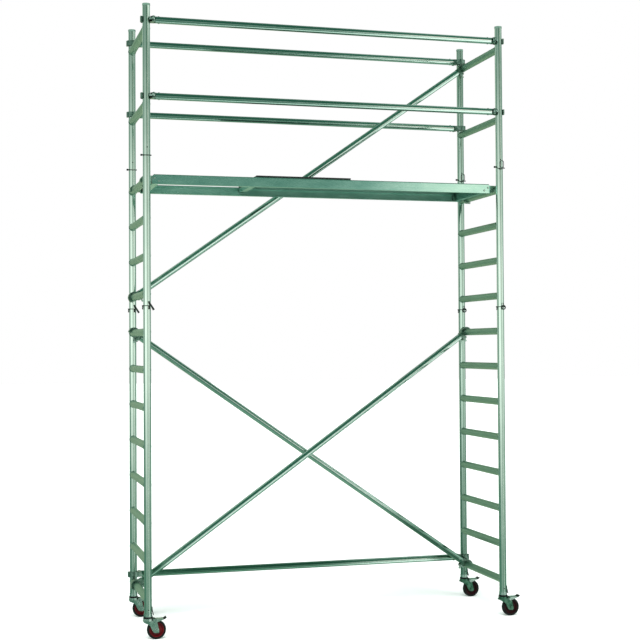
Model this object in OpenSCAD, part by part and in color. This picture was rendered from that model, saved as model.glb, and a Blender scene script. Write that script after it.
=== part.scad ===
// Mobile scaffold tower: stacked ladder frames on castors, with a trapdoor
// platform, guard rails and braces. Length along X, width along Y, +Z up,
// floor at Z = 0.

/* [Tower] */
// Distance between the two ladder frames, centre to centre of their uprights
bay_l = 2500; // [2300:10:2700]
// Distance between the two uprights of one frame, centre to centre
bay_w = 730; // [720:5:760]
// Height of the lowest rung's centre above the floor
rung_z = 254; // [250:1:260]
// Spacing of the rungs, which the frames repeat from end to end
pitch = 250; // [248:1:252]
// Height of the upper end of the guard frames
top_z = 4160; // [4140:5:4200]

/* [Tubes] */
// Outside diameter of the uprights
upr_d = 50; // [48:0.5:50]
// Wall of the uprights
upr_t = 2; // [1.8:0.1:2]
// Outside diameter of the rungs
rung_d = 48; // [44:0.5:48]
// Outside diameter of the rails and braces
rail_d = 45; // [43:0.5:46]
// Wall of the rungs, rails and braces
tube_t = 2; // [1.6:0.1:2]

/* [Platform] */
// Overall width of the platform
deck_w = 570; // [560:5:600]
// Front face of the platform
deck_y = -305; // [-310:1:-300]
// Height of the side beams
beam_h = 64; // [63:0.5:66]
// Length of the trapdoor
hatch_l = 674; // [600:1:680]
// Position of the trapdoor's hinge along the platform
hinge_x = -509; // [-520:1:-500]
// Thickness of the trapdoor and of the deck panels
panel_t = 12; // [9:0.5:12]

/* [Castors] */
// Diameter of the wheels
wheel_d = 125; // [123:0.5:125]
// Trail, the distance of the axle from the swivel axis
trail = 55; // [54:1:58]

/* [Hidden] */

$fn = 48;

alu = [0.62, 0.76, 0.69];
cast = [0.50, 0.61, 0.55];
steel = [0.60, 0.68, 0.64];
black = [0.07, 0.09, 0.08];
red = [0.50, 0.03, 0.05];
ply = [0.20, 0.34, 0.28];

ux = bay_l / 2;                  // uprights, from the middle of the bay
uy = bay_w / 2;
claw_ro = 40;                    // outside of a claw's jaw
claw_ri = upr_d / 2 + 0.6;       // inside of a claw's jaw
claw_h = 36;                     // width of a claw along the tube it grips
tube_x = 60;                     // where a rail's tube begins, from the gripped tube's axis
rivet_x = 82;                    // where its claw is riveted
latch_p = [44, -31];             // latch pivot in a claw
pedal_tip = 119;                 // reach of a brake pedal from the swivel axis
off_x = (claw_ro - pedal_tip) / 2; // centres the outline on the origin

foot_z = 170;                    // lower end of the lower frames
joint_1 = 2150;                  // lower and middle frames meet
joint_2 = 3140;                  // middle and guard frames meet
pin_up = 25;                     // lock pin above a joint
hole_r = 4.3;
spare_z = joint_2 + 75;          // spare pin hole in the guard frames
weld = 0.25;                     // root gap of the welded rungs

function rz(k) = rung_z + k * pitch;

module shifted() translate([off_x, 0, 0]) children();

// ---------- plain shapes ----------

module tube(d, t, l) difference() {
    cylinder(d = d, h = l);
    translate([0, 0, -1]) cylinder(d = d - 2 * t, h = l + 2);
}

// round bar from p to q, of radius r at p and r2 at q
module rod(p, q, r, r2 = 0) {
    v = q - p;
    l = norm(v);
    translate(p) rotate([0, acos(v[2] / l), atan2(v[1], v[0])]) cylinder(r1 = r, r2 = r2 > 0 ? r2 : r, h = l);
}

module cyl_x(r, l) rotate([0, 90, 0]) cylinder(r = r, h = l, center = true);
module cyl_y(r, l) rotate([90, 0, 0]) cylinder(r = r, h = l, center = true);

// outline drawn in X and Z, as thick as y1 - y0
module plate_xz(y0, y1) translate([0, y1, 0]) rotate([90, 0, 0]) linear_extrude(y1 - y0) children();

// ---------- ladder frames ----------

module upright(x, y, za, zb, hx, hy) translate([x, y, 0]) difference() {
    translate([0, 0, za]) tube(upr_d, upr_t, zb - za);
    for (z = hx) translate([0, 0, z]) cyl_x(hole_r, 80);
    for (z = hy) translate([0, 0, z]) cyl_y(hole_r, 80);
}

// rung, its ends coped to the uprights
module rung(x, z) translate([x, 0, z]) difference() {
    translate([0, -uy, 0]) rotate([-90, 0, 0]) tube(rung_d, tube_t, bay_w);
    for (s = [-1, 1]) translate([0, s * uy, 0]) cylinder(d = upr_d + 2 * weld, h = 90, center = true);
}

module ladder(x, za, zb, ks, hx, hy) color(alu) shifted() {
    for (s = [-1, 1]) upright(x, s * uy, za, zb, hx, hy);
    for (k = ks) rung(x, rz(k));
}

module lower_frame(x) ladder(x, foot_z, joint_1, [0:7], [foot_z + pin_up], [foot_z + pin_up]);
module middle_frame(x) ladder(x, joint_1, joint_2, [8:11], [joint_1 + pin_up], []);
module guard_frame(x) ladder(x, joint_2, top_z, [13, 15], [joint_2 + pin_up], [spare_z]);

module lower_frame_left() lower_frame(-ux);
module lower_frame_right() lower_frame(ux);
module middle_frame_left() middle_frame(-ux);
module middle_frame_right() middle_frame(ux);
module guard_frame_left() guard_frame(-ux);
module guard_frame_right() guard_frame(ux);

module corners() for (x = [-ux, ux], y = [-uy, uy]) translate([x, y, 0]) children();

module frame_spigots() color(alu) shifted() for (j = [joint_1, joint_2]) corners() difference() {
    translate([0, 0, j - 110]) tube(upr_d - 2 * upr_t - 1, 3, 220);
    translate([0, 0, j + pin_up]) cyl_x(hole_r, 80);
    if (j == joint_2) translate([0, 0, spare_z]) cyl_y(hole_r, 80);
}

module upright_caps() color(cast) shifted() corners() translate([0, 0, top_z]) difference() {
    translate([0, 0, -9]) cylinder(d = upr_d + 2.2, h = 13);
    translate([0, 0, -10]) cylinder(d = upr_d + 0.2, h = 10);
}

// spring clip: pin through the joint and ring round the front, with a slanting
// lever or, on the right-hand frame, an eye turned to the front
module lower_clip(eye) {
    cyl_x(4, 66);
    rotate([0, 0, 180]) rotate_extrude(angle = 180) translate([30, 0]) circle(r = 2.6);
    rod([-29.5, -6, 1], [-30.5, -7, -24], 3.4);
    if (eye) {
        translate([8, -37.2, -5]) rotate([90, 0, 0]) rotate_extrude() translate([13, 0]) circle(r = 4);
        rod([8, -28.9, 0], [8, -37.2, 8], 3);
        rod([8, -37.2, 7], [5, -35, 28], 3);
    } else {
        rod([10, -29.5, 1], [10, -30, -24], 3.4);
        rod([7, -31, 28], [42, -12, -26], 4, 7.5);
    }
}

module lower_lock_clips() color(black) shifted() for (x = [-ux, ux], y = [-uy, uy])
    translate([x, y, joint_1 + pin_up]) lower_clip(x > 0);

// lock pin with a ball head and a wire bow round the front; on the right-hand
// frame the bow has longer legs, hangs lower and carries a finger loop
module bow_pin(tilt, leg, loop) {
    cyl_x(4, 64);
    translate([-34, 0, 0]) rotate([0, 90, 0]) rotate_extrude() polygon([[0, -7], [4, -7], [7, -4], [7, 4], [4, 7], [0, 7]]);
    rotate([tilt, 0, 0]) {
        for (s = [-1, 1]) translate([s * 30, 0, 0]) rotate([90, 0, 0]) cylinder(r = 2.4, h = leg);
        translate([0, -leg, 0]) rotate([0, 0, 180]) rotate_extrude(angle = 180) translate([30, 0]) circle(r = 2.4);
    }
    if (loop) translate([0, -47, 0]) rotate([90, 0, 0]) {
        translate([0, -19, 0]) rotate([-90, 0, 0]) cylinder(r = 2.8, h = 11);
        translate([0, 3, 0]) rotate([0, 0, 180]) rotate_extrude(angle = 180) translate([13, 0]) circle(r = 2.4);
        for (s = [-1, 1]) translate([s * 13, 3, 0]) rotate([-90, 0, 0]) cylinder(r = 2.4, h = 24);
        translate([0, 27, 0]) rotate_extrude(angle = 180) translate([13, 0]) circle(r = 2.4);
    }
}

module upper_lock_pins() color(black) shifted() for (x = [-ux, ux], y = [-uy, uy])
    translate([x, y, joint_2 + pin_up]) bow_pin(x < 0 ? 6 : 20, x < 0 ? 2 : 20, x > 0);

// ---------- rails, braces and their claws ----------

// A claw is drawn with the gripped tube along Z through the origin, the rail
// running off along +X and the mouth of the jaw facing -Y.

// rails and base brace: height, and which face of the tower they stand on
rails = [[rz(15) + 56, -1], [rz(13) + 52, -1], [rz(15) + 61, 1], [rz(13) + 53, 1], [rz(0) + 49, 1]];
// diagonals: rung and Y of the left end, rung and Y of the right end
diags = [[7, uy - 63, 0, uy - 63], [0, uy - 165, 7, uy - 75], [8, uy - 63, 15, uy - 63]];

function dg_p(d) = [-ux, d[1], rz(d[0])];
function dg_q(d) = [ux, d[3], rz(d[2])];
function dg_len(d) = norm(dg_q(d) - dg_p(d));

// e = 0 at the left end, 1 at the right end
module rail_end(i, e) translate([(e == 0 ? -1 : 1) * ux, rails[i][1] * uy, rails[i][0]])
    mirror([e, 0, 0]) mirror([0, rails[i][1] > 0 ? 1 : 0, 0]) children();

module diag_end(i, e) {
    d = diags[i];
    v = dg_q(d) - dg_p(d);
    translate(e == 0 ? dg_p(d) : dg_q(d)) rotate([0, 0, atan2(v[1], v[0])])
        rotate([0, -asin(v[2] / norm(v)), 0]) rotate([90, 0, 0]) mirror([e, 0, 0]) children();
}

// tube of total pin-to-pin length l, drawn from its left end
module rail_tube(l) difference() {
    translate([tube_x, 0, 0]) rotate([0, 90, 0]) tube(rail_d, tube_t, l - 2 * tube_x);
    for (x = [rivet_x, l - rivet_x]) translate([x, 0, 0]) cylinder(r = 4.15, h = 60, center = true);
}

module guard_rails() color(alu) shifted() for (i = [0:3]) rail_end(i, 0) rail_tube(bay_l);

module brace_tubes() color(alu) shifted() {
    rail_end(4, 0) rail_tube(bay_l);
    for (i = [0:2]) diag_end(i, 0) rail_tube(dg_len(diags[i]));
}

module claw() difference() {
    union() {
        linear_extrude(claw_h, center = true) difference() {
            union() {
                circle(r = claw_ro);
                translate([0, -24]) square([54, 48]);
                translate(latch_p) circle(r = 11);
                translate([latch_p[0] - 11, latch_p[1]]) square([21, 12]);
            }
            circle(r = claw_ri);
            translate([-claw_ri, -70]) square([2 * claw_ri, 70]);
            translate([-70, -70]) square([70, 54]);
        }
        translate([52, 0, 0]) rotate([0, 90, 0]) cylinder(d = rail_d, h = 8);
        translate([56, 0, 0]) rotate([0, 90, 0]) cylinder(d = rail_d - 2 * tube_t - 0.5, h = 54);
    }
    // slot for the latch, pivot hole and rivet hole
    translate([14, -70, -8]) cube([46, 51, 16]);
    translate([latch_p[0], latch_p[1], 0]) cylinder(r = 4.15, h = 60, center = true);
    translate([rivet_x, 0, 0]) cylinder(r = 4.15, h = 60, center = true);
    // pocket round the jaw on both faces
    for (m = [0, 1]) mirror([0, 0, m]) translate([0, 0, claw_h / 2 - 3]) rotate([0, 0, 15])
        rotate_extrude(angle = 165) translate([29.5, 0]) square([6.5, 4]);
}

module rail_claws() color(cast) shifted() for (i = [0:3], e = [0, 1]) rail_end(i, e) claw();

module brace_claws() color(cast) shifted() {
    for (e = [0, 1]) rail_end(4, e) claw();
    for (i = [0:2], e = [0, 1]) diag_end(i, e) claw();
}

// latch pivot pin with heads, and the rivet that holds the claw in its tube
module claw_pins() {
    translate([latch_p[0], latch_p[1], 0]) {
        cylinder(r = 4, h = claw_h + 1, center = true);
        for (s = [-1, 1]) translate([0, 0, s * (claw_h / 2 + 1.7)]) cylinder(r = 6.5, h = 3, center = true);
    }
    translate([rivet_x, 0, 0]) {
        cylinder(r = 4, h = rail_d + 1, center = true);
        for (s = [-1, 1]) translate([0, 0, s * (rail_d / 2 + 1.4)]) cylinder(r = 6.5, h = 2.4, center = true);
    }
}

module claw_fasteners() color(steel) shifted() {
    for (i = [0:4], e = [0, 1]) rail_end(i, e) claw_pins();
    for (i = [0:2], e = [0, 1]) diag_end(i, e) claw_pins();
}

// latch that reaches into the mouth, with a finger stub, shown closed
module latch() difference() {
    union() {
        linear_extrude(14, center = true) difference() {
            polygon([[14, -22], [14, -33], [19, -38], [44, -40], [46, -23], [17, -19.8]]);
            circle(r = claw_ri + 0.8);
        }
        translate([latch_p[0], latch_p[1], 0]) cylinder(r = 9, h = 14, center = true);
        linear_extrude(14, center = true) polygon([[33, -36], [45, -36], [41, -57], [34, -59], [31, -56]]);
    }
    translate([latch_p[0], latch_p[1], 0]) cylinder(r = 4.06, h = 60, center = true);
}

module rail_latch(i, e) color(black) shifted() rail_end(i, e) latch();
module diag_latch(i, e) color(black) shifted() diag_end(i, e) latch();

module latch_front_top_l() rail_latch(0, 0);
module latch_front_top_r() rail_latch(0, 1);
module latch_front_knee_l() rail_latch(1, 0);
module latch_front_knee_r() rail_latch(1, 1);
module latch_rear_top_l() rail_latch(2, 0);
module latch_rear_top_r() rail_latch(2, 1);
module latch_rear_knee_l() rail_latch(3, 0);
module latch_rear_knee_r() rail_latch(3, 1);
module latch_base_l() rail_latch(4, 0);
module latch_base_r() rail_latch(4, 1);
module latch_falling_l() diag_latch(0, 0);
module latch_falling_r() diag_latch(0, 1);
module latch_rising_l() diag_latch(1, 0);
module latch_rising_r() diag_latch(1, 1);
module latch_upper_l() diag_latch(2, 0);
module latch_upper_r() diag_latch(2, 1);

// ---------- platform ----------

deck_l = bay_l - 90;             // length of the side beams
beam_z = rz(11) - 19;            // underside of the side beams
ledge_z = beam_z + beam_h - panel_t + 0.5; // ledge that carries the panels
panel_z = ledge_z + panel_t;     // top of the deck
hook_y = 45;                     // width of a rung hook
hinge_z = panel_z + 0.7;         // hinge axis of the trapdoor
hatch_gap = 6;                   // hinge axis to the trapdoor's edge
hinge_y = [deck_y + 90, deck_y + deck_w - 170]; // start of each hinge
hinge_w = 80;

module mirrored_y() for (m = [0, 1]) translate([0, deck_y + deck_w / 2, 0]) mirror([0, m, 0])
    translate([0, -deck_y - deck_w / 2, 0]) children();

// from the front side beam over to the rear one
module other_beam() translate([0, 2 * deck_y + deck_w, 0]) mirror([0, 1, 0]) children();

// channel with a ledge, its web on the outside
module side_beam() difference() {
    translate([-deck_l / 2, deck_y, beam_z]) rotate([90, 0, 90]) linear_extrude(deck_l) polygon([
        [0, 0], [30, 0], [30, 4], [3, 4], [3, ledge_z - beam_z - 3], [26, ledge_z - beam_z - 3],
        [26, ledge_z - beam_z], [3, ledge_z - beam_z], [3, beam_h], [2.2, beam_h], [0, beam_h - 5]]);
    for (s = [-1, 1]) {
        translate([s * deck_l / 2, deck_y, beam_z + beam_h]) rotate([0, 45, 0]) cube([17, 20, 17], center = true);
        hook_bolts(s) cyl_y(4.2, 20);
    }
}

// places of the two bolts in a hook, on the front face of the platform
module hook_bolts(s) for (p = [[45, 19], [15, 39]])
    translate([s * (deck_l / 2 - p[0]), deck_y, beam_z + p[1]]) children();

module platform_side_beams() color(alu) shifted() mirrored_y() side_beam();

module box_beam(x, z, w, h, t, l) difference() {
    translate([x, deck_y + (deck_w - l) / 2, z]) cube([w, l, h]);
    translate([x + t, deck_y + (deck_w - l) / 2 - 1, z + t]) cube([w - 2 * t, l + 2, h - 2 * t]);
}

// two end beams, the left one with a rest for the trapdoor, and the hinge joist
module platform_cross_members() color(alu) shifted() {
    for (s = [-1, 1]) box_beam(s < 0 ? -deck_l / 2 + 9 : deck_l / 2 - 49, ledge_z - 47, 40, 47, 2.5, deck_w - 60);
    translate([-deck_l / 2 + 45, deck_y + 30, ledge_z - 3]) cube([55, deck_w - 60, 3]);
    box_beam(hinge_x + 7, ledge_z - 30, 40, 30, 2.5, deck_w - 53);
}

module deck_panels() color(ply) shifted() {
    difference() {
        translate([hinge_x + 7, deck_y + 3.4, ledge_z]) cube([hatch_l + 2, deck_w - 6.8, panel_t]);
        for (y = hinge_y) translate([hinge_x, y - 0.4, panel_z - 2.4]) cube([40, hinge_w + 0.8, 5]);
    }
    translate([hinge_x + hatch_l + 11, deck_y + 3.4, ledge_z])
        cube([deck_l / 2 - 7 - hinge_x - hatch_l - 11, deck_w - 6.8, panel_t]);
}

// hook over the rung with a plug in the side beam's end, drawn for the left front corner
module hook() difference() {
    union() {
        translate([-ux, 0, rz(11)]) plate_xz(deck_y, deck_y + hook_y) difference() {
            union() {
                circle(r = 35);
                translate([0, -11]) square([44.6, 46]);
            }
            circle(r = rung_d / 2 + 1.2);
            translate([-rung_d / 2 - 1.2, -60]) square([rung_d + 2.4, 60]);
            translate([-60, -60]) square([120, 49]);
        }
        translate([-ux + 40, deck_y + 3.4, beam_z + 4.4]) cube([70, 25, ledge_z - beam_z - 7.8]);
    }
    hook_bolts(-1) cyl_y(4.2, 80);
}

// pivot pin of a wind latch, on the inside of a hook
module wind_pin() translate([-ux + 33, deck_y + hook_y + 3.7, rz(11) - 6]) cyl_y(4, 8.6);

module platform_hooks() color(cast) shifted() {
    mirrored_y() for (m = [0, 1]) mirror([m, 0, 0]) hook();
    wind_pin();
    mirror([1, 0, 0]) other_beam() wind_pin();
}

module platform_bolts() color(steel) shifted() mirrored_y() for (s = [-1, 1]) hook_bolts(s) {
    translate([0, 8, 0]) cyl_y(4, 17);
    translate([0, -2.7, 0]) cyl_y(7, 5);
}

// latch that reaches under the rung, shown closed, drawn for the left front
// hook; the other one sits on the right rear hook
module wind_latch() translate([-ux, 0, rz(11)]) difference() {
    union() {
        plate_xz(deck_y + hook_y + 0.7, deck_y + hook_y + 6.7) difference() {
            polygon([[22, -2], [40, 0], [42, -12], [22, -37], [-14, -37], [-18, -28], [-12, -22], [20, -12]]);
            circle(r = rung_d / 2 + 1.4);
        }
        translate([33, deck_y + hook_y + 3.7, -6]) cyl_y(9, 6);
    }
    translate([33, deck_y + hook_y + 3.7, -6]) cyl_y(4.06, 20);
}

module wind_latch_left() color(black) shifted() wind_latch();
module wind_latch_right() color(black) shifted() mirror([1, 0, 0]) other_beam() wind_latch();

// knuckle of a hinge with a tongue to its leaf; s = 1 below the axis, -1 above
module knuckle(y0, y1, r, s) difference() {
    union() {
        translate([hinge_x, (y0 + y1) / 2, hinge_z]) cyl_y(4.8, y1 - y0);
        translate([hinge_x, y0, s > 0 ? panel_z - 2 : hinge_z + 0.4]) cube([12, y1 - y0, 2]);
    }
    translate([hinge_x, (y0 + y1) / 2, hinge_z]) cyl_y(r, y1 - y0 + 2);
}

module hatch_hinge_fixed() color(steel) shifted() for (y = hinge_y) {
    knuckle(y, y + 25, 2.6, 1);
    knuckle(y + hinge_w - 25, y + hinge_w, 2.6, 1);
    translate([hinge_x + 8, y, panel_z - 2]) cube([31, hinge_w, 2]);
    translate([hinge_x, y + hinge_w / 2, hinge_z]) cyl_y(2.5, hinge_w + 2);
}

module hatch_hinge_moving() color(steel) shifted() for (y = hinge_y) {
    knuckle(y + 25.5, y + hinge_w - 25.5, 2.56, -1);
    translate([hinge_x + 8, y, hinge_z + 0.4]) cube([31, hinge_w, 2]);
}

// trapdoor, laid open on the deck
module hatch_panel() color(black) shifted() difference() {
    translate([hinge_x + hatch_gap, deck_y + 8, hinge_z + 0.4]) cube([hatch_l, deck_w - 16, panel_t]);
    for (y = hinge_y) translate([hinge_x, y - 0.4, hinge_z - 3]) cube([40, hinge_w + 0.8, 5.6]);
    // bevel along the hinge edge
    translate([hinge_x + hatch_gap, deck_y + deck_w / 2, hinge_z + 0.4 + panel_t])
        rotate([0, 45, 0]) cube([11, deck_w, 11], center = true);
}

// ---------- castors ----------

wheel_r = wheel_d / 2;
axle_p = [trail, wheel_r];
pedal_p = [38, 130];             // pivot of the brake pedal

// stem in the upright's foot, collar, race and king pin with its nut
module stem() difference() {
    union() {
        translate([0, 0, foot_z - 1]) cylinder(d = upr_d - 2 * upr_t - 0.8, h = 130);
        translate([0, 0, 149]) cylinder(r = 27, h = foot_z - 149);
        translate([0, 0, 139.6]) cylinder(r = 24, h = 10);
        translate([0, 0, 110]) cylinder(r = 8, h = 32);
        translate([0, 0, 110]) cylinder(r = 10, h = 8);
    }
    translate([0, 0, foot_z + pin_up]) cyl_x(hole_r, 80);
    translate([0, 0, foot_z + pin_up]) cyl_y(hole_r, 80);
}

module castor_stems() color(steel) shifted() corners() stem();

// dust seal on the race, under the collar
module castor_seals() color(black) shifted() corners() difference() {
    translate([0, 0, 141]) cylinder(r = 30.5, h = 7.6);
    translate([0, 0, 140]) cylinder(r = 24.1, h = 10);
}

// spring strip on the upright's foot, its pin and push button in the cross holes
module castor_clips() color(black) shifted() corners() {
    plate_xz(-9, 9) polygon([[25.4, 212], [28.4, 212], [29.5, 192], [38, 160], [34, 158.5], [25.4, 186]]);
    translate([10, 0, foot_z + pin_up]) cyl_x(4, 32);
    translate([0, -13, foot_z + pin_up]) cyl_y(4, 28);
}

// pressed fork under a round head, its axle bolt and the pedal's pivot pin
module fork() {
    difference() {
        union() {
            translate([0, 0, 123]) cylinder(r = 32, h = 15.6);
            translate([-31, -22, 120]) cube([55, 44, 4]);
            for (y = [-22, 19]) plate_xz(y, y + 3) polygon([
                [-31, 124], [-31, 115], [0, 101], [12, 90], [20, 72], [31, 52], [40, 45], [62, 43], [70, 48], [70, 62],
                [57, 112], [47, 122], [47, 135], [44, 138], [33, 138], [28, 132], [28, 124]]);
        }
        translate([0, 0, 100]) cylinder(r = 8.06, h = 60);
        translate([axle_p[0], 0, axle_p[1]]) cyl_y(5.15, 60);
        translate([pedal_p[0], 0, pedal_p[1]]) cyl_y(4.15, 60);
    }
    translate([axle_p[0], 0, axle_p[1]]) {
        cyl_y(5, 52);
        for (s = [-1, 1]) translate([0, s * 24.7, 0]) cyl_y(9, 5);
    }
    translate([pedal_p[0], 0, pedal_p[1]]) {
        cyl_y(4, 56);
        for (s = [-1, 1]) translate([0, s * 28, 0]) cyl_y(6, 2.4);
    }
}

// red wheel centre: boss, web and rim
module hub() translate([axle_p[0], 0, axle_p[1]]) rotate([90, 0, 0]) rotate_extrude() polygon([
    [5.06, -17.5], [14, -17.5], [17, -9], [38, -6], [41, -13], [48, -13],
    [48, 13], [41, 13], [38, 6], [17, 9], [14, 17.5], [5.06, 17.5]]);

module tyre() translate([axle_p[0], 0, axle_p[1]]) rotate([90, 0, 0]) rotate_extrude() polygon([
    [48.1, -13.5], [57, -13.5], [61, -10.5], [wheel_r, -5], [wheel_r, 5], [61, 10.5], [57, 13.5], [48.1, 13.5]]);

// brake pedal: top plate, side flanges and an upturned tip
module pedal() difference() {
    union() {
        plate_xz(-26, 26) polygon([[49.5, 131], [104, 131], [112, 134.5], [pedal_tip, 142], [116.5, 144], [109.5, 138], [103, 134], [49.5, 134]]);
        for (y = [-26, 23.5]) plate_xz(y, y + 2.5) polygon([
            [29, 131], [32, 123], [46, 110], [104, 131], [104, 134], [48, 134], [44, 138], [33, 138]]);
    }
    translate([pedal_p[0], 0, pedal_p[1]]) cyl_y(4.06, 60);
}

module castor_at(x, y) shifted() translate([x, y, 0]) children();

module castor_fl_fork() color(steel) castor_at(-ux, -uy) fork();
module castor_fl_hub() color(red) castor_at(-ux, -uy) hub();
module castor_fl_tyre() color(black) castor_at(-ux, -uy) tyre();
module castor_fl_pedal() color(steel) castor_at(-ux, -uy) pedal();
module castor_fr_fork() color(steel) castor_at(ux, -uy) fork();
module castor_fr_hub() color(red) castor_at(ux, -uy) hub();
module castor_fr_tyre() color(black) castor_at(ux, -uy) tyre();
module castor_fr_pedal() color(steel) castor_at(ux, -uy) pedal();
module castor_rl_fork() color(steel) castor_at(-ux, uy) fork();
module castor_rl_hub() color(red) castor_at(-ux, uy) hub();
module castor_rl_tyre() color(black) castor_at(-ux, uy) tyre();
module castor_rl_pedal() color(steel) castor_at(-ux, uy) pedal();
module castor_rr_fork() color(steel) castor_at(ux, uy) fork();
module castor_rr_hub() color(red) castor_at(ux, uy) hub();
module castor_rr_tyre() color(black) castor_at(ux, uy) tyre();
module castor_rr_pedal() color(steel) castor_at(ux, uy) pedal();

lower_frame_left();
lower_frame_right();
middle_frame_left();
middle_frame_right();
guard_frame_left();
guard_frame_right();
frame_spigots();
upright_caps();
lower_lock_clips();
upper_lock_pins();
guard_rails();
brace_tubes();
rail_claws();
brace_claws();
claw_fasteners();
platform_side_beams();
platform_cross_members();
deck_panels();
platform_hooks();
platform_bolts();
hatch_hinge_fixed();
hatch_panel();
hatch_hinge_moving();
wind_latch_left();
wind_latch_right();
castor_stems();
castor_seals();
castor_clips();
castor_fl_fork();
castor_fl_hub();
castor_fl_tyre();
castor_fl_pedal();
castor_fr_fork();
castor_fr_hub();
castor_fr_tyre();
castor_fr_pedal();
castor_rl_fork();
castor_rl_hub();
castor_rl_tyre();
castor_rl_pedal();
castor_rr_fork();
castor_rr_hub();
castor_rr_tyre();
castor_rr_pedal();
latch_front_top_l();
latch_front_top_r();
latch_front_knee_l();
latch_front_knee_r();
latch_rear_top_l();
latch_rear_top_r();
latch_rear_knee_l();
latch_rear_knee_r();
latch_base_l();
latch_base_r();
latch_falling_l();
latch_falling_r();
latch_rising_l();
latch_rising_r();
latch_upper_l();
latch_upper_r();
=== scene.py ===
"""Looks of the mobile scaffold tower: finishes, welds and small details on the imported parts, a pale floor,
studio light and the camera."""

import bpy
import bmesh
import math
from mathutils import Matrix, Vector


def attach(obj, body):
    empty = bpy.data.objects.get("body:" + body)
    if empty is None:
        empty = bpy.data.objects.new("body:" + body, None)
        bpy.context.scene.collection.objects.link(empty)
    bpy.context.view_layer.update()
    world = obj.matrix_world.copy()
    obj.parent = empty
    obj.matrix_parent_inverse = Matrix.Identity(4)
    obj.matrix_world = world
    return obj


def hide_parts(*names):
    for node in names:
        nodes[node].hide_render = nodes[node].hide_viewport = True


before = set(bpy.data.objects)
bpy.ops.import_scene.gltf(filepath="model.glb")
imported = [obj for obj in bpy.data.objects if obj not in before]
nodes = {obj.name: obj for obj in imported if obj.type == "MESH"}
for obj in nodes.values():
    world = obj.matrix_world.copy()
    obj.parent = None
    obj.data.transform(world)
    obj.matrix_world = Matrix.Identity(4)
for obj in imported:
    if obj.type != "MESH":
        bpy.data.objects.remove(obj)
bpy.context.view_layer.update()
scene = bpy.context.scene

# ---------------------------------------------------------------- camera

YAW, PITCH, ROLL = math.radians(15.598), math.radians(1.188), math.radians(0.338)
cam_data = bpy.data.cameras.new("camera")
cam = bpy.data.objects.new("camera", cam_data)
scene.collection.objects.link(cam)
cam_data.sensor_fit = "HORIZONTAL"
cam_data.sensor_width = 36.0
cam_data.lens = 72.525
cam_data.clip_start, cam_data.clip_end = 0.1, 200.0
cam.matrix_world = (
    Matrix.Translation((-2.4682, -8.7969, 1.9002))
    @ Matrix.Rotation(-YAW, 4, "Z")
    @ Matrix.Rotation(math.radians(90) + PITCH, 4, "X")
    @ Matrix.Rotation(-ROLL, 4, "Z")
)
scene.camera = cam
scene.view_settings.view_transform = "Standard"
scene.view_settings.look = "None"


# ---------------------------------------------------------------- node helper


class Net:
    """Adds nodes to a tree; sockets and plain numbers both work as inputs."""

    def __init__(self, tree):
        self.t = tree

    def new(self, kind):
        return self.t.nodes.new(kind)

    def put(self, socket, value):
        if hasattr(value, "is_output"):
            self.t.links.new(value, socket)
        elif value is not None:
            socket.default_value = value

    def math(self, op, a, b=None, c=None, clamp=False):
        n = self.new("ShaderNodeMath")
        n.operation, n.use_clamp = op, clamp
        for i, v in enumerate((a, b, c)):
            self.put(n.inputs[i], v)
        return n.outputs[0]

    def step(self, v, lo, hi, a=0.0, b=1.0):
        """smooth step of v from lo to hi"""
        n = self.new("ShaderNodeMapRange")
        n.interpolation_type, n.clamp = "SMOOTHSTEP", True
        for i, x in enumerate((v, lo, hi, a, b)):
            self.put(n.inputs[i], x)
        return n.outputs[0]

    def line(self, v, lo, hi, a, b):
        n = self.new("ShaderNodeMapRange")
        n.clamp = True
        for i, x in enumerate((v, lo, hi, a, b)):
            self.put(n.inputs[i], x)
        return n.outputs[0]

    def mix(self, fac, a, b, mode="MIX"):
        n = self.new("ShaderNodeMix")
        n.data_type, n.blend_type = "RGBA", mode
        self.put(n.inputs[0], fac)
        for i, v in ((6, a), (7, b)):
            self.put(n.inputs[i], (*v, 1.0) if isinstance(v, tuple) else v)
        return n.outputs[2]

    def fmix(self, fac, a, b):
        n = self.new("ShaderNodeMix")
        n.data_type = "FLOAT"
        for i, v in ((0, fac), (2, a), (3, b)):
            self.put(n.inputs[i], v)
        return n.outputs[0]

    def coords(self):
        return self.new("ShaderNodeTexCoord").outputs["Object"]

    def xyz(self, v):
        n = self.new("ShaderNodeSeparateXYZ")
        self.put(n.inputs[0], v)
        return n.outputs

    def scaled(self, v, s, rot=(0, 0, 0)):
        n = self.new("ShaderNodeMapping")
        self.put(n.inputs["Vector"], v)
        n.inputs["Scale"].default_value = s
        n.inputs["Rotation"].default_value = rot
        return n.outputs[0]

    def noise(self, v, scale, detail=3.0, rough=0.55):
        n = self.new("ShaderNodeTexNoise")
        self.put(n.inputs["Vector"], v)
        n.inputs["Scale"].default_value = scale
        n.inputs["Detail"].default_value = detail
        n.inputs["Roughness"].default_value = rough
        return n.outputs["Fac"]

    def bump(self, h, strength, dist):
        n = self.new("ShaderNodeBump")
        n.inputs["Strength"].default_value = strength
        n.inputs["Distance"].default_value = dist
        self.put(n.inputs["Height"], h)
        return n.outputs[0]


def material(name, metallic, specular=0.5):
    m = bpy.data.materials.new(name)
    m.use_nodes = True
    b = m.node_tree.nodes["Principled BSDF"]
    b.inputs["Metallic"].default_value = metallic
    b.inputs["Specular IOR Level"].default_value = specular
    return m, Net(m.node_tree), b


# ---------------------------------------------------------------- finishes


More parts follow.
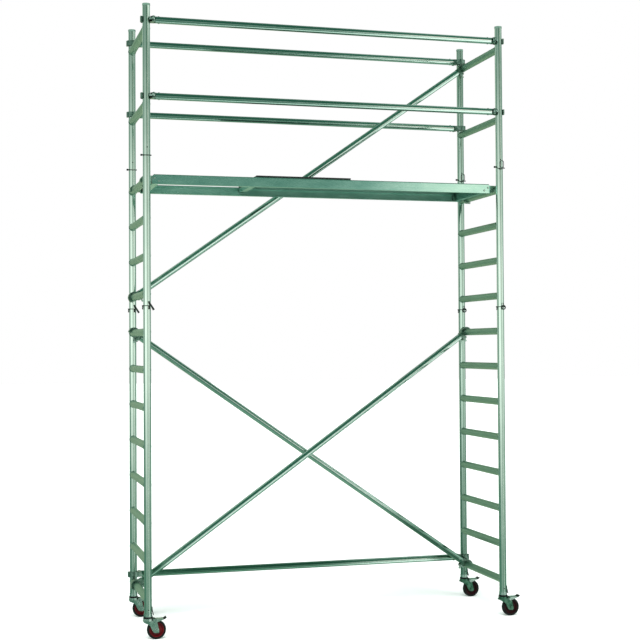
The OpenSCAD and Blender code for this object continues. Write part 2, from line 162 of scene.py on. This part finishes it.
def tube_metal(name, a, b, grain, rough, bump=0.05, shade_height=None, left_shade_amount=None):
    """drawn aluminium: grain gives the scale of the streaks along X, Y and Z; tubes under the shade height get
    painted shade towards the left, those just over it and the right-hand ends get darker painted shade, the left-shade
    amount is how much painted shade darkens the left half"""
    m, n, s = material(name, 1.0)
    o = n.coords()
    streak = n.noise(n.scaled(o, grain), 1.0, 4.0, 0.6)
    cloud = n.noise(o, 9.0, 4.0, 0.6)
    f = n.fmix(0.45, streak, cloud)
    c = n.mix(n.step(f, 0.3, 0.7), a, b)
    if shade_height:
        # painted shade: darker tone low on the tubes and towards the left
        z = n.math("ADD", n.xyz(o)[2], n.line(cloud, 0.3, 0.7, -0.02, 0.02))
        above = n.math("MULTIPLY", n.step(z, shade_height + 0.02, shade_height + 0.09), n.step(z, 0.95, 0.70))
        painted_shade_low_left = n.math("MULTIPLY", n.step(z, shade_height + 0.06, shade_height), n.step(n.xyz(o)[0], 0.65, 0.0))
        c = n.mix(painted_shade_low_left, c, (0.20, 0.37, 0.28))
        # painted shade: darker still just over that height on the right, and at the right-hand ends near the castors
        x = n.xyz(o)[0]
        right = n.math("MAXIMUM", n.math("MULTIPLY", n.step(x, 0.45, 0.80), above),
                       n.math("MULTIPLY", n.step(x, 0.90, 1.03), n.step(z, 0.9, 0.6)))
        c = n.mix(n.math("MULTIPLY", right, 0.88), c, (0.13, 0.27, 0.20))
    # painted shade: the left half of the tube darkened
    if left_shade_amount:
        c = n.mix(n.step(n.xyz(o)[0], 0.7, -0.1, 0.0, left_shade_amount), c, (0.21, 0.39, 0.32))
    n.put(s.inputs["Base Color"], c)
    n.put(s.inputs["Roughness"], n.line(cloud, 0.25, 0.75, rough[0], rough[1]))
    n.put(s.inputs["Normal"], n.bump(streak, bump, 0.0006))
    return m


def frame_metal(name):
    """ladder frames: uprights with a grain along Z, duller rungs with one along Y, painted shade on the rear right
    upright that deepens lower down
    """
    m, n, s = material(name, 1.0)
    o = n.coords()
    p = n.xyz(o)
    rung = n.math("LESS_THAN", n.math("ABSOLUTE", p[1]), 0.3375)
    up = n.noise(n.scaled(o, (260, 260, 4)), 1.0, 4.0, 0.6)
    across = n.noise(n.scaled(o, (260, 5, 260)), 1.0, 4.0, 0.6)
    cloud = n.noise(o, 7.0, 4.0, 0.6)
    streak = n.fmix(rung, up, across)
    f = n.step(n.fmix(0.4, streak, cloud), 0.3, 0.7)
    cu = n.mix(f, (0.65, 0.80, 0.69), (0.83, 0.94, 0.84))
    cr = n.mix(f, (0.46, 0.63, 0.51), (0.60, 0.77, 0.63))
    # painted shade: the rear right upright darkened, more so towards the floor
    rr_upright_painted_shade = n.math("MULTIPLY", n.math("MULTIPLY", n.step(p[0], 0.8, 1.0), n.step(p[1], 0.25, 0.32)), n.step(p[2], 2.6, 0.3, 0.42, 0.85))
    cu = n.mix(rr_upright_painted_shade, cu, (0.36, 0.52, 0.43))
    n.put(s.inputs["Base Color"], n.mix(rung, cu, cr))
    ru = n.line(cloud, 0.25, 0.75, 0.06, 0.12)
    rr = n.line(cloud, 0.25, 0.75, 0.34, 0.46)
    n.put(s.inputs["Roughness"], n.fmix(rung, ru, rr))
    n.put(s.inputs["Normal"], n.bump(streak, 0.06, 0.0006))
    return m


def mottled(name, a, b, rough, scale=26.0, metallic=1.0, bump=0.12, dist=0.0012, crevice_shade=None, tip=None):
    """castings, welds and plating: blotches and a fine tooth, painted shade darkening corners, crevices and joins with
    other parts, a black coat past the length tip
    """
    m, n, s = material(name, metallic)
    o = n.coords()
    blot = n.noise(o, scale, 5.0, 0.62)
    fine = n.noise(o, scale * 14.0, 3.0, 0.5)
    c = n.mix(n.step(blot, 0.32, 0.68), a, b)
    r = n.line(n.fmix(0.4, blot, fine), 0.3, 0.7, rough[0], rough[1])
    # painted shade: colour darkened where ambient occlusion finds corners, crevices and joins with other parts
    if crevice_shade:
        ao = n.new("ShaderNodeAmbientOcclusion")
        ao.samples = 6
        ao.inputs["Distance"].default_value = 0.03
        c = n.mix(n.step(n.math("ADD", ao.outputs["AO"], n.line(fine, 0.3, 0.7, -0.08, 0.08)), 0.85, 0.25), c, crevice_shade)
    if tip:
        u = n.math("FRACT", n.math("DIVIDE", n.math("ADD", n.xyz(o)[0], 1.2895), 2.5))
        black = n.math("GREATER_THAN", n.math("MULTIPLY", n.math("LESS_THAN", u, 0.06), u), tip / 2.5)
        c = n.mix(black, c, (0.012, 0.018, 0.015))
        r = n.fmix(black, r, 0.5)
    n.put(s.inputs["Base Color"], c)
    n.put(s.inputs["Roughness"], r)
    n.put(s.inputs["Normal"], n.bump(n.fmix(0.6, blot, fine), bump, dist))
    return m


def beam_metal(name, a, b, rough):
    """mill-finish extrusion: fine die lines along X, broad soft patches and a few rubbed spots; satin inside"""
    m, n, s = material(name, 0.95)
    o = n.coords()
    inside = n.math("LESS_THAN", n.math("ABSOLUTE", n.math("ADD", n.xyz(o)[1], 0.02)), 0.2834)
    lines = n.noise(n.scaled(o, (3, 300, 300)), 1.0, 3.0, 0.6)
    patch = n.noise(n.scaled(o, (7, 20, 20)), 1.0, 4.0, 0.55)
    rub = n.step(n.noise(n.scaled(o, (40, 90, 90)), 1.0, 4.0, 0.7), 0.58, 0.72)
    f = n.step(n.fmix(0.75, lines, patch), 0.30, 0.70)
    n.put(s.inputs["Base Color"], n.mix(n.math("MULTIPLY", rub, 0.30), n.mix(f, a, b), (0.66, 0.84, 0.75)))
    n.put(s.inputs["Roughness"], n.fmix(inside, n.line(patch, 0.25, 0.75, rough[0], rough[1]),
                                        n.line(patch, 0.25, 0.75, 0.34, 0.44)))
    n.put(s.inputs["Normal"], n.bump(n.fmix(0.5, lines, patch), 0.03, 0.0004))
    return m


def board(name, a, b, rough, under=None):
    """film-faced plywood: pressed wire-mesh pattern on the faces, thin plies on the edges; under is the roughness of
    a smooth film on the lower face"""
    m, n, s = material(name, 0.0, 0.5)
    o = n.coords()
    p = n.xyz(o)
    blot = n.noise(o, 14.0, 4.0, 0.6)
    nz = n.xyz(n.new("ShaderNodeNewGeometry").outputs["Normal"])[2]
    up = n.step(n.math("ABSOLUTE", nz), 0.6, 0.8)
    u = n.math("SINE", n.math("MULTIPLY", p[0], 1047.0))
    v = n.math("SINE", n.math("MULTIPLY", p[1], 1047.0))
    grid = n.math("MULTIPLY", n.math("MAXIMUM", u, v), n.step(nz, 0.6, 0.8) if under else up)
    plies = n.math("SINE", n.math("MULTIPLY", p[2], 3140.0))
    edge = n.mix(n.step(plies, -0.3, 0.3), tuple(0.8 * t for t in a), tuple(1.5 * t for t in b))
    n.put(s.inputs["Base Color"], n.mix(up, edge, n.mix(n.step(blot, 0.3, 0.7), a, b)))
    r = n.line(blot, 0.3, 0.7, rough[0], rough[1])
    if under:
        r = n.fmix(n.step(nz, -0.6, -0.8), r, n.line(blot, 0.3, 0.7, under[0], under[1]))
    n.put(s.inputs["Roughness"], r)
    n.put(s.inputs["Normal"], n.bump(grid, 0.25, 0.0004))
    return m


def plain(name, a, b, rough, scale=60.0, bump=0.1, dist=0.0004, specular=0.45):
    """plastic, rubber and coated steel"""
    m, n, s = material(name, 0.0, specular)
    o = n.coords()
    blot = n.noise(o, scale, 4.0, 0.6)
    fine = n.noise(o, 900.0, 2.0, 0.5)
    n.put(s.inputs["Base Color"], n.mix(n.step(blot, 0.3, 0.7), a, b))
    n.put(s.inputs["Roughness"], n.line(blot, 0.3, 0.7, rough[0], rough[1]))
    n.put(s.inputs["Normal"], n.bump(fine, bump, dist))
    return m


MAT = {
    "frame": frame_metal("ladder_frame_aluminium"),
    "rail": tube_metal("rail_aluminium", (0.64, 0.80, 0.72), (0.84, 0.96, 0.90), (4, 260, 260), (0.09, 0.17),
                       left_shade_amount=0.55),
    "brace": tube_metal("brace_aluminium", (0.58, 0.73, 0.65), (0.76, 0.89, 0.82), (40, 260, 40), (0.10, 0.18), shade_height=0.34),
    "rung": tube_metal("rung_aluminium", (0.34, 0.52, 0.41), (0.47, 0.67, 0.54), (260, 5, 260), (0.30, 0.42)),
    "weld": mottled("weld_aluminium", (0.44, 0.56, 0.48), (0.62, 0.76, 0.67), (0.28, 0.42), 130.0),
    "platform": beam_metal("platform_aluminium", (0.34, 0.65, 0.55), (0.48, 0.79, 0.68), (0.06, 0.12)),
    "cast": mottled("cast_aluminium", (0.14, 0.24, 0.19), (0.34, 0.48, 0.40), (0.22, 0.38), 60.0, 1.0, 0.25,
                    crevice_shade=(0.008, 0.022, 0.015)),
    "hook": mottled("hook_aluminium", (0.28, 0.42, 0.34), (0.48, 0.63, 0.54), (0.26, 0.42), 60.0, 1.0, 0.2,
                    crevice_shade=(0.02, 0.045, 0.032)),
    # bright edges of the castings: worn metal, brightened further as a painted highlight
    "worn": mottled("worn_edge_and_highlight_aluminium", (0.62, 0.77, 0.69), (0.86, 0.97, 0.91), (0.16, 0.28), 120.0, 1.0, 0.08),
    "zinc": mottled("zinc_plated_steel", (0.50, 0.66, 0.58), (0.74, 0.87, 0.80), (0.18, 0.30), 18.0, 1.0, 0.03, crevice_shade=(0.03, 0.06, 0.045)),
    "pedal": mottled("brake_pedal_steel", (0.46, 0.60, 0.53), (0.68, 0.80, 0.74), (0.22, 0.38), 70.0,
                     crevice_shade=(0.02, 0.04, 0.03), tip=0.098),
    # darker copy of the zinc plating for the right-hand castors: painted shade
    "zinc_dark": mottled("zinc_steel_painted_shade", (0.05, 0.16, 0.10), (0.15, 0.31, 0.22), (0.22, 0.38), 45.0, 1.0, 0.05,
                         crevice_shade=(0.006, 0.016, 0.011)),
    "cap": plain("cap_plastic", (0.12, 0.21, 0.16), (0.17, 0.28, 0.22), (0.4, 0.55)),
    "black": plain("black_spring_steel", (0.008, 0.012, 0.010), (0.02, 0.028, 0.024), (0.3, 0.45), 80.0),
    "ply": board("deck_plywood", (0.010, 0.028, 0.020), (0.018, 0.045, 0.033), (0.42, 0.6), (0.10, 0.16)),
    "hatch": board("hatch_plywood", (0.004, 0.007, 0.006), (0.010, 0.015, 0.013), (0.4, 0.55)),
    "red": plain("red_wheel", (0.052, 0.0012, 0.003), (0.108, 0.002, 0.004), (0.32, 0.46), 40.0, specular=0.2),
    # darker copy of the red wheel for the right-hand castors: painted shade
    "red_dark": plain("red_wheel_painted_shade", (0.006, 0.0006, 0.001), (0.026, 0.0012, 0.003), (0.44, 0.6), 40.0, specular=0.2),
    "tyre": plain("black_tyre", (0.004, 0.005, 0.005), (0.010, 0.012, 0.011), (0.5, 0.68), 60.0, specular=0.2),
}


def finish_of(n):
    if "_frame_" in n or n == "frame_spigots":
        return "frame"
    for key, words in (
        ("rail", ("guard_rails",)),
        ("brace", ("brace_tubes",)),
        ("platform", ("platform_side_beams", "platform_cross_members")),
        ("cast", ("rail_claws", "brace_claws")),
        ("hook", ("platform_hooks",)),
        ("cap", ("upright_caps",)),
        ("black", ("lower_lock_clips", "upper_lock_pins", "castor_clips")),
        ("ply", ("deck_panels",)),
        ("hatch", ("hatch_panel",)),
    ):
        if n in words:
            return key
    # the right-hand castors take darker copies of their finishes as painted shade
    shaded_right_castor = n.startswith(("castor_fr", "castor_rr"))
    if n.endswith("_hub"):
        return "red_dark" if shaded_right_castor else "red"
    if n.endswith("_tyre") or n == "castor_seals":
        return "tyre"
    if n.endswith("_pedal"):
        return "pedal"
    if n.startswith("wind_latch"):
        return "hook"
    return "zinc_dark" if shaded_right_castor else "zinc"


for name, obj in nodes.items():
    obj.data.materials.clear()
    obj.data.materials.append(MAT[finish_of(name)])

# ---------------------------------------------------------------- modelled pieces

UX, UY, OFF = 1.25, 0.365, -0.0395
RUNGS = [0.254 + 0.25 * k for k in (*range(12), 13, 15)]
CORNERS = {"fl": (-UX, -UY), "fr": (UX, -UY), "rl": (-UX, UY), "rr": (UX, UY)}


def piece(name, bm, mat, body, sharp=35.0, stands_for=(), edge=None):
    bmesh.ops.recalc_face_normals(bm, faces=bm.faces)
    me = bpy.data.meshes.new(name)
    bm.to_mesh(me)
    bm.free()
    me.shade_smooth()
    me.set_sharp_from_angle(angle=math.radians(sharp))
    me.materials.append(MAT[mat])
    if edge:
        me.materials.append(MAT[edge])
    obj = bpy.data.objects.new(name, me)
    scene.collection.objects.link(obj)
    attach(obj, body)
    if stands_for:
        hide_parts(*stands_for)
    return obj


def spin(bm, profile, n, m, closed=False, phase=0.0):
    """turns (radius, height) points, in mm, round the Z axis of m"""
    rings = []
    for r, h in profile:
        if r < 1e-6:
            rings.append([bm.verts.new(m @ Vector((0, 0, h / 1000)))])
        else:
            ring = []
            for k in range(n):
                a = 2 * math.pi * (k + phase) / n
                ring.append(bm.verts.new(m @ Vector((r * math.cos(a) / 1000, r * math.sin(a) / 1000, h / 1000))))
            rings.append(ring)
    for i in range(len(rings) if closed else len(rings) - 1):
        p, q = rings[i], rings[(i + 1) % len(rings)]
        for k in range(n):
            j = (k + 1) % n
            if len(p) == 1:
                bm.faces.new((p[0], q[k], q[j]))
            elif len(q) == 1:
                bm.faces.new((p[k], p[j], q[0]))
            else:
                bm.faces.new((p[k], p[j], q[j], q[k]))


def rounded(points, r, steps=3):
    """closed (radius, height) outline with its corners rounded to r"""
    out = []
    n = len(points)
    for i in range(n):
        a, b, c = (Vector(points[(i + k) % n]) for k in (-1, 0, 1))
        u, v = (a - b), (c - b)
        t = min(r, 0.45 * u.length, 0.45 * v.length)
        p, q = b + u.normalized() * t, b + v.normalized() * t
        for k in range(steps + 1):
            f = k / steps
            out.append(tuple((1 - f) ** 2 * p + 2 * f * (1 - f) * b + f * f * q))
    return out


def soften(node, body, width, segs=2, limit=38.0, edge=None):
    """copy of a part with its hard edges rounded, and those edges given a bright worn finish with a painted highlight
    if edge names a finish
    """
    bm = bmesh.new()
    bm.from_mesh(nodes[node].data)
    bmesh.ops.remove_doubles(bm, verts=bm.verts, dist=2e-5)
    bmesh.ops.dissolve_limit(bm, angle_limit=math.radians(1.0), verts=bm.verts, edges=bm.edges)
    hard = [e for e in bm.edges if len(e.link_faces) == 2 and e.calc_face_angle(0.0) > math.radians(limit)]
    bmesh.ops.bevel(bm, geom=hard, offset=width / 1000, offset_type="OFFSET", segments=segs, profile=0.5,
                    affect="EDGES", clamp_overlap=True, material=1 if edge else -1)
    return piece(node + "_edges", bm, finish_of(node), body, 20.0, (node,), edge)


# weld beads round both ends of every rung
bm = bmesh.new()
N, M = 120, 7
for x in (-UX + OFF, UX + OFF):
    for z in RUNGS:
        for s in (-1, 1):
            rows = []
            for i in range(N):
                t = 2 * math.pi * i / N
                px, pz = 0.024 * math.cos(t), 0.024 * math.sin(t)
                py = math.sqrt(0.025 ** 2 - px * px)
                nr = Vector((math.cos(t), 0, math.sin(t)))
                nu = Vector((px / 0.025, -s * py / 0.025, 0))
                tan = Vector((-math.sin(t), -s * (0.024 ** 2) * math.sin(t) * math.cos(t) / py, math.cos(t))).normalized()
                e1 = nr + nu
                e1 = (e1 - tan * e1.dot(tan)).normalized()
                e2 = tan.cross(e1)
                mid = Vector((x + px, s * (UY - py), z + pz)) + e1 * 0.0006
                r = 0.0033 * (1 + 0.11 * math.cos(30 * t) + 0.04 * math.sin(3 * t + 7 * z + s))
                rows.append([bm.verts.new(mid + r * (math.cos(2 * math.pi * k / M) * e1 + math.sin(2 * math.pi * k / M) * e2))
                             for k in range(M)])
            for i in range(N):
                p, q = rows[i], rows[(i + 1) % N]
                for k in range(M):
                    j = (k + 1) % M
                    bm.faces.new((p[k], p[j], q[j], q[k]))
piece("rung_welds", bm, "weld", "tower", 60.0)

# ribbed grip along every rung
bm = bmesh.new()
RIBS = 36
for x in (-UX + OFF, UX + OFF):
    for z in RUNGS:
        m = Matrix.Translation((x, 0, z)) @ Matrix.Rotation(math.radians(-90), 4, "X")
        rings = []
        for y in (-333.0, 333.0):
            for outer in (True, False):
                ring = []
                for k in range(RIBS * 4):
                    a = 2 * math.pi * k / (RIBS * 4)
                    r = (24.75, 24.75, 24.2, 24.2)[k % 4] if outer else 24.04
                    ring.append(bm.verts.new(m @ Vector((r * math.cos(a) / 1000, r * math.sin(a) / 1000, y / 1000))))
                rings.append(ring)
        n = RIBS * 4
        for a, b in ((0, 2), (2, 3), (3, 1), (1, 0)):
            for k in range(n):
                j = (k + 1) % n
                bm.faces.new((rings[a][k], rings[a][j], rings[b][j], rings[b][k]))
piece("rung_grips", bm, "rung", "tower", 30.0)


def rail_end(x_end, side, z):
    flip = Matrix.Diagonal((1 if x_end < 0 else -1, -1 if side > 0 else 1, 1, 1))
    return Matrix.Translation((x_end * UX + OFF, side * UY, z)) @ flip


def brace_end(p, q, e):
    v = q - p
    flip = Matrix.Diagonal((1 if e == 0 else -1, 1, 1, 1))
    turn = (Matrix.Rotation(math.atan2(v.y, v.x), 4, "Z") @ Matrix.Rotation(-math.asin(v.z / v.length), 4, "Y")
            @ Matrix.Rotation(math.radians(90), 4, "X"))
    return Matrix.Translation(p if e == 0 else q) @ turn @ flip


RAILS = [(4.060, -1), (3.556, -1), (4.065, 1), (3.557, 1), (0.303, 1)]
BRACES = [(2.004, 0.302, 0.254, 0.302), (0.254, 0.200, 2.004, 0.290), (2.254, 0.302, 4.004, 0.302)]
ENDS = [rail_end(e, side, z) for z, side in RAILS for e in (-1, 1)]
for z0, y0, z1, y1 in BRACES:
    p, q = Vector((-UX + OFF, y0, z0)), Vector((UX + OFF, y1, z1))
    ENDS += [brace_end(p, q, e) for e in (0, 1)]

# round-headed latch pins and rivets in the claws
bm = bmesh.new()
for m in ENDS:
    for x, y, half, head in ((44, -31, 18.0, 3.2), (82, 0, 22.5, 2.6)):
        a = m @ Matrix.Translation((x / 1000, y / 1000, 0))
        top = half + 0.2
        dome = [(6.5 * math.cos(math.radians(t)), top + 0.5 + (head - 0.5) * math.sin(math.radians(t))) for t in range(0, 90, 15)]
        up = [(4.0, 0.0), (4.0, top), (6.5, top)] + dome + [(0.0, top + head)]
        spin(bm, [(0.0, -top - head)] + [(r, -h) for r, h in reversed(dome)] + [(6.5, -top), (4.0, -top)] + up[1:], 20, a)
piece("claw_pins_and_rivets", bm, "zinc", "tower", 40.0, ("claw_fasteners",))

# hexagon bolts with washers in the platform's hooks
bm = bmesh.new()
for sy, y in ((-1, -0.305), (1, 0.265)):
    for sx in (-1, 1):
        for bx, bz in ((45, 19), (15, 39)):
            m = (Matrix.Translation((sx * (1.205 - bx / 1000) + OFF, y, 2.985 + bz / 1000))
                 @ Matrix.Rotation(math.radians(90 if sy < 0 else -90), 4, "X"))
            spin(bm, [(0, -16.4), (3.2, -16.4), (4, -15.4), (4, 0.1), (0, 0.1)], 16, m)
            spin(bm, rounded([(3.9, 0.2), (7.4, 0.2), (7.4, 1.5), (3.9, 1.5)], 0.3, 2), 28, m, True)
            spin(bm, [(0, 1.4), (6.6, 1.4), (6.6, 4.5), (6.0, 5.1), (0, 5.1)], 6, m, False, 0.3)
piece("platform_hex_bolts", bm, "zinc", "tower", 30.0, ("platform_bolts",))

# wheels: rounded tyre on a moulded centre, axle nuts
TYRE = [(48.1, -13.2), (50.2, -13.2), (50.6, -12.8), (52.0, -12.8), (52.4, -13.4), (56.0, -13.5), (59.2, -12.5),
        (61.2, -10.2), (62.2, -7.0), (62.5, -3.0), (62.5, 3.0), (62.2, 7.0), (61.2, 10.2), (59.2, 12.5),
        (56.0, 13.5), (52.4, 13.4), (52.0, 12.8), (50.6, 12.8), (50.2, 13.2), (48.1, 13.2)]
HUB = [(5.06, -17.5), (14, -17.5), (17, -9), (38, -6), (41, -13), (48, -13), (48, 13), (41, 13), (38, 6), (17, 9),
       (14, 17.5), (5.06, 17.5)]
for c, (x, y) in CORNERS.items():
    m = Matrix.Translation((x + 0.055 + OFF, y, 0.0625)) @ Matrix.Rotation(math.radians(90), 4, "X")
    bm = bmesh.new()
    spin(bm, TYRE, 96, m, True)
    piece(f"castor_{c}_rubber_tyre", bm, "tyre", f"wheel_{c}", 50.0, (f"castor_{c}_tyre",))
    bm = bmesh.new()
    spin(bm, rounded(HUB, 2.2, 4), 96, m, True)
    piece(f"castor_{c}_wheel_centre", bm, finish_of(f"castor_{c}_hub"), f"wheel_{c}", 50.0, (f"castor_{c}_hub",))
    bm = bmesh.new()
    for s in (-1, 1):
        a = m @ Matrix.Diagonal((1, 1, s, 1))
        spin(bm, rounded([(5.2, 22.1), (12.2, 22.1), (12.2, 23.6), (5.2, 23.6)], 0.4, 2), 32, a, True)
        spin(bm, [(0, 23.5), (10.4, 23.5), (10.4, 27.0), (9.4, 27.9), (5.6, 27.9), (5.3, 28.3), (0, 28.3)], 6, a, False, 0.2)
    piece(f"castor_{c}_axle_nuts", bm, finish_of(f"castor_{c}_fork"), f"castor_{c}", 30.0)

# castings and pressings with rounded edges; claws and hooks get bright worn edges that also serve as a painted
# highlight
for node in ("rail_claws", "brace_claws", "platform_hooks"):
    soften(node, "tower", 1.3, edge="worn")
soften("upright_caps", "tower", 0.5)
for c in CORNERS:
    soften(f"castor_{c}_fork", f"castor_{c}", 0.6)
    soften(f"castor_{c}_pedal", f"brake_{c}", 0.6)
for node in nodes:
    if node.startswith("latch_"):
        soften(node, node, 0.9)
for n in ("left", "right"):
    soften(f"wind_latch_{n}", f"wind_latch_{n}", 0.7)
soften("hatch_panel", "hatch", 0.9)
soften("deck_panels", "tower", 0.9)
soften("platform_side_beams", "tower", 0.7)

# ---------------------------------------------------------------- floor and light

bm = bmesh.new()
bmesh.ops.create_grid(bm, x_segments=1, y_segments=1, size=60.0)
me = bpy.data.meshes.new("floor")
bm.to_mesh(me)
bm.free()
floor = bpy.data.objects.new("floor", me)
scene.collection.objects.link(floor)
fm, fn, fs = material("floor_pale", 0.0, 0.0)
fn.put(fs.inputs["Base Color"], fn.mix(fn.noise(fn.coords(), 0.4), (0.90, 0.91, 0.905), (0.92, 0.925, 0.92)))
fs.inputs["Roughness"].default_value = 0.9
fs.inputs["Emission Color"].default_value = (1.0, 1.0, 1.0, 1.0)
fs.inputs["Emission Strength"].default_value = 0.22
me.materials.append(fm)
floor.visible_glossy = False

sun_data = bpy.data.lights.new("overhead", "SUN")
sun_data.energy = 4.2
sun_data.angle = math.radians(50)
sun = bpy.data.objects.new("overhead", sun_data)
scene.collection.objects.link(sun)
sun.rotation_euler = (math.radians(33), 0, math.radians(-15))
sun.visible_glossy = False

world = bpy.data.worlds.new("studio")
scene.world = world
world.use_nodes = True
w = Net(world.node_tree)
world.node_tree.nodes.clear()
d = w.xyz(w.new("ShaderNodeTexCoord").outputs["Generated"])
deg = math.degrees(1)
az = w.math("MULTIPLY", w.math("ARCTAN2", d[0], w.math("MULTIPLY", d[1], -1.0)), deg)
el = w.math("MULTIPLY", w.math("ARCSINE", d[2]), deg)
aaz = w.math("ABSOLUTE", az)


def hump(v, mid, width):
    e = w.math("DIVIDE", w.math("SUBTRACT", v, mid), width)
    return w.math("POWER", 2.718, w.math("MULTIPLY", w.math("MULTIPLY", e, e), -1.0))


def both(*fs):
    f = fs[0]
    for g in fs[1:]:
        f = w.math("MULTIPLY", f, g)
    return f


# dim green room: ceiling above, floor below
col = w.mix(w.step(el, 4, -10), (0.036, 0.140, 0.096), (0.092, 0.215, 0.160))
col = w.mix(w.step(el, -15, -60), col, (0.20, 0.36, 0.28))
# long bright strip at eye height in front, weaker straight ahead and at two gaps on the right
front = both(w.step(az, 100, 80), w.step(az, -92, -76), w.fmix(w.step(az, -45, -70), 1.0, w.step(el, -10, 1)))
gap = w.math("SUBTRACT", 1.0, w.math("MULTIPLY", both(w.step(az, -26, 8), w.step(az, 22, 15)), 0.60))
gap = w.math("SUBTRACT", gap, w.math("MULTIPLY", both(w.step(az, 26, 30), w.step(az, 46, 40)), 0.62))
gap = w.math("SUBTRACT", gap, w.math("MULTIPLY", both(w.step(az, 66, 74), w.step(az, 97, 92), w.step(el, -9, -2)), 0.80))
tall = w.fmix(w.step(el, 0.5, 1.5), w.fmix(w.step(az, 5, 25), 8.0, 6.6), w.fmix(w.step(az, 42, 52), w.fmix(w.step(az, -18, -6), 10.0, 7.2), 10.5))
thin = w.fmix(both(w.step(az, -2, 8), w.step(az, 20, 15)), tall, 6.0)
strip = both(front, gap, hump(el, 1.0, thin))
col = w.mix(w.math("MULTIPLY", strip, 0.93), col, (1.22, 1.29, 1.25))
# lit floor and tall panels to the right of the camera
pool = both(w.step(az, 19.5, 24), w.step(az, 52, 38), w.step(el, -5, -20))
col = w.mix(pool, col, (1.22, 1.33, 1.26))
panel = both(w.step(az, 17.9, 22.0), w.step(az, 29, 25), hump(el, 7.0, 12.0))
warm = w.mix(w.step(az, 23.2, 25.5), (1.42, 1.21, 1.10), (1.12, 1.24, 1.17))
col = w.mix(w.math("MULTIPLY", panel, 0.95), col, warm)
glow = both(w.step(az, 14.0, 18.6), w.step(az, 21.3, 20.5), hump(el, -6.8, 2.6))
col = w.mix(glow, col, (1.60, 1.68, 1.55))
high = both(w.step(az, 32, 40), w.step(az, 105, 92), w.step(el, 12, 17),
            w.step(w.math("SUBTRACT", el, w.math("MULTIPLY", az, 0.43)), 6.5, 2.5))
col = w.mix(high, col, (1.20, 1.30, 1.24))
slope = w.math("ADD", el, w.math("MULTIPLY", az, 0.5))
low = both(w.step(az, 40, 48), w.step(az, 108, 95), w.step(el, -11, -16), w.step(slope, -4, 4))
col = w.mix(low, col, (1.15, 1.25, 1.18))
# soft boxes behind, olive wall at the back
sides = w.fmix(w.step(az, -1, 1), w.math("MULTIPLY", w.step(az, -103, -115), 0.8), w.math("MULTIPLY", w.step(az, 95, 106), 0.58))
behind = both(sides, w.step(aaz, 158, 144), w.step(el, -9, 3))
col = w.mix(w.math("MULTIPLY", behind, 0.7), col, (0.80, 0.92, 0.86))
olive = both(w.step(aaz, 144, 160), w.step(el, 32, 18))
col = w.mix(olive, col, (0.18, 0.30, 0.21))
col = w.mix(w.math("MULTIPLY", olive, w.step(aaz, 160, 170)), col, (0.56, 0.66, 0.47))
# skylight behind on the left
sky = both(hump(az, -129.0, 7.0), hump(el, 55.0, 6.0))
col = w.mix(w.math("MULTIPLY", sky, 0.9), col, (1.10, 1.20, 1.14))
path = w.new("ShaderNodeLightPath").outputs["Is Camera Ray"]
col = w.mix(path, col, (1.0, 1.0, 1.0))
bg = w.new("ShaderNodeBackground")
w.put(bg.inputs["Color"], col)
out = w.new("ShaderNodeOutputWorld")
world.node_tree.links.new(bg.outputs[0], out.inputs["Surface"])
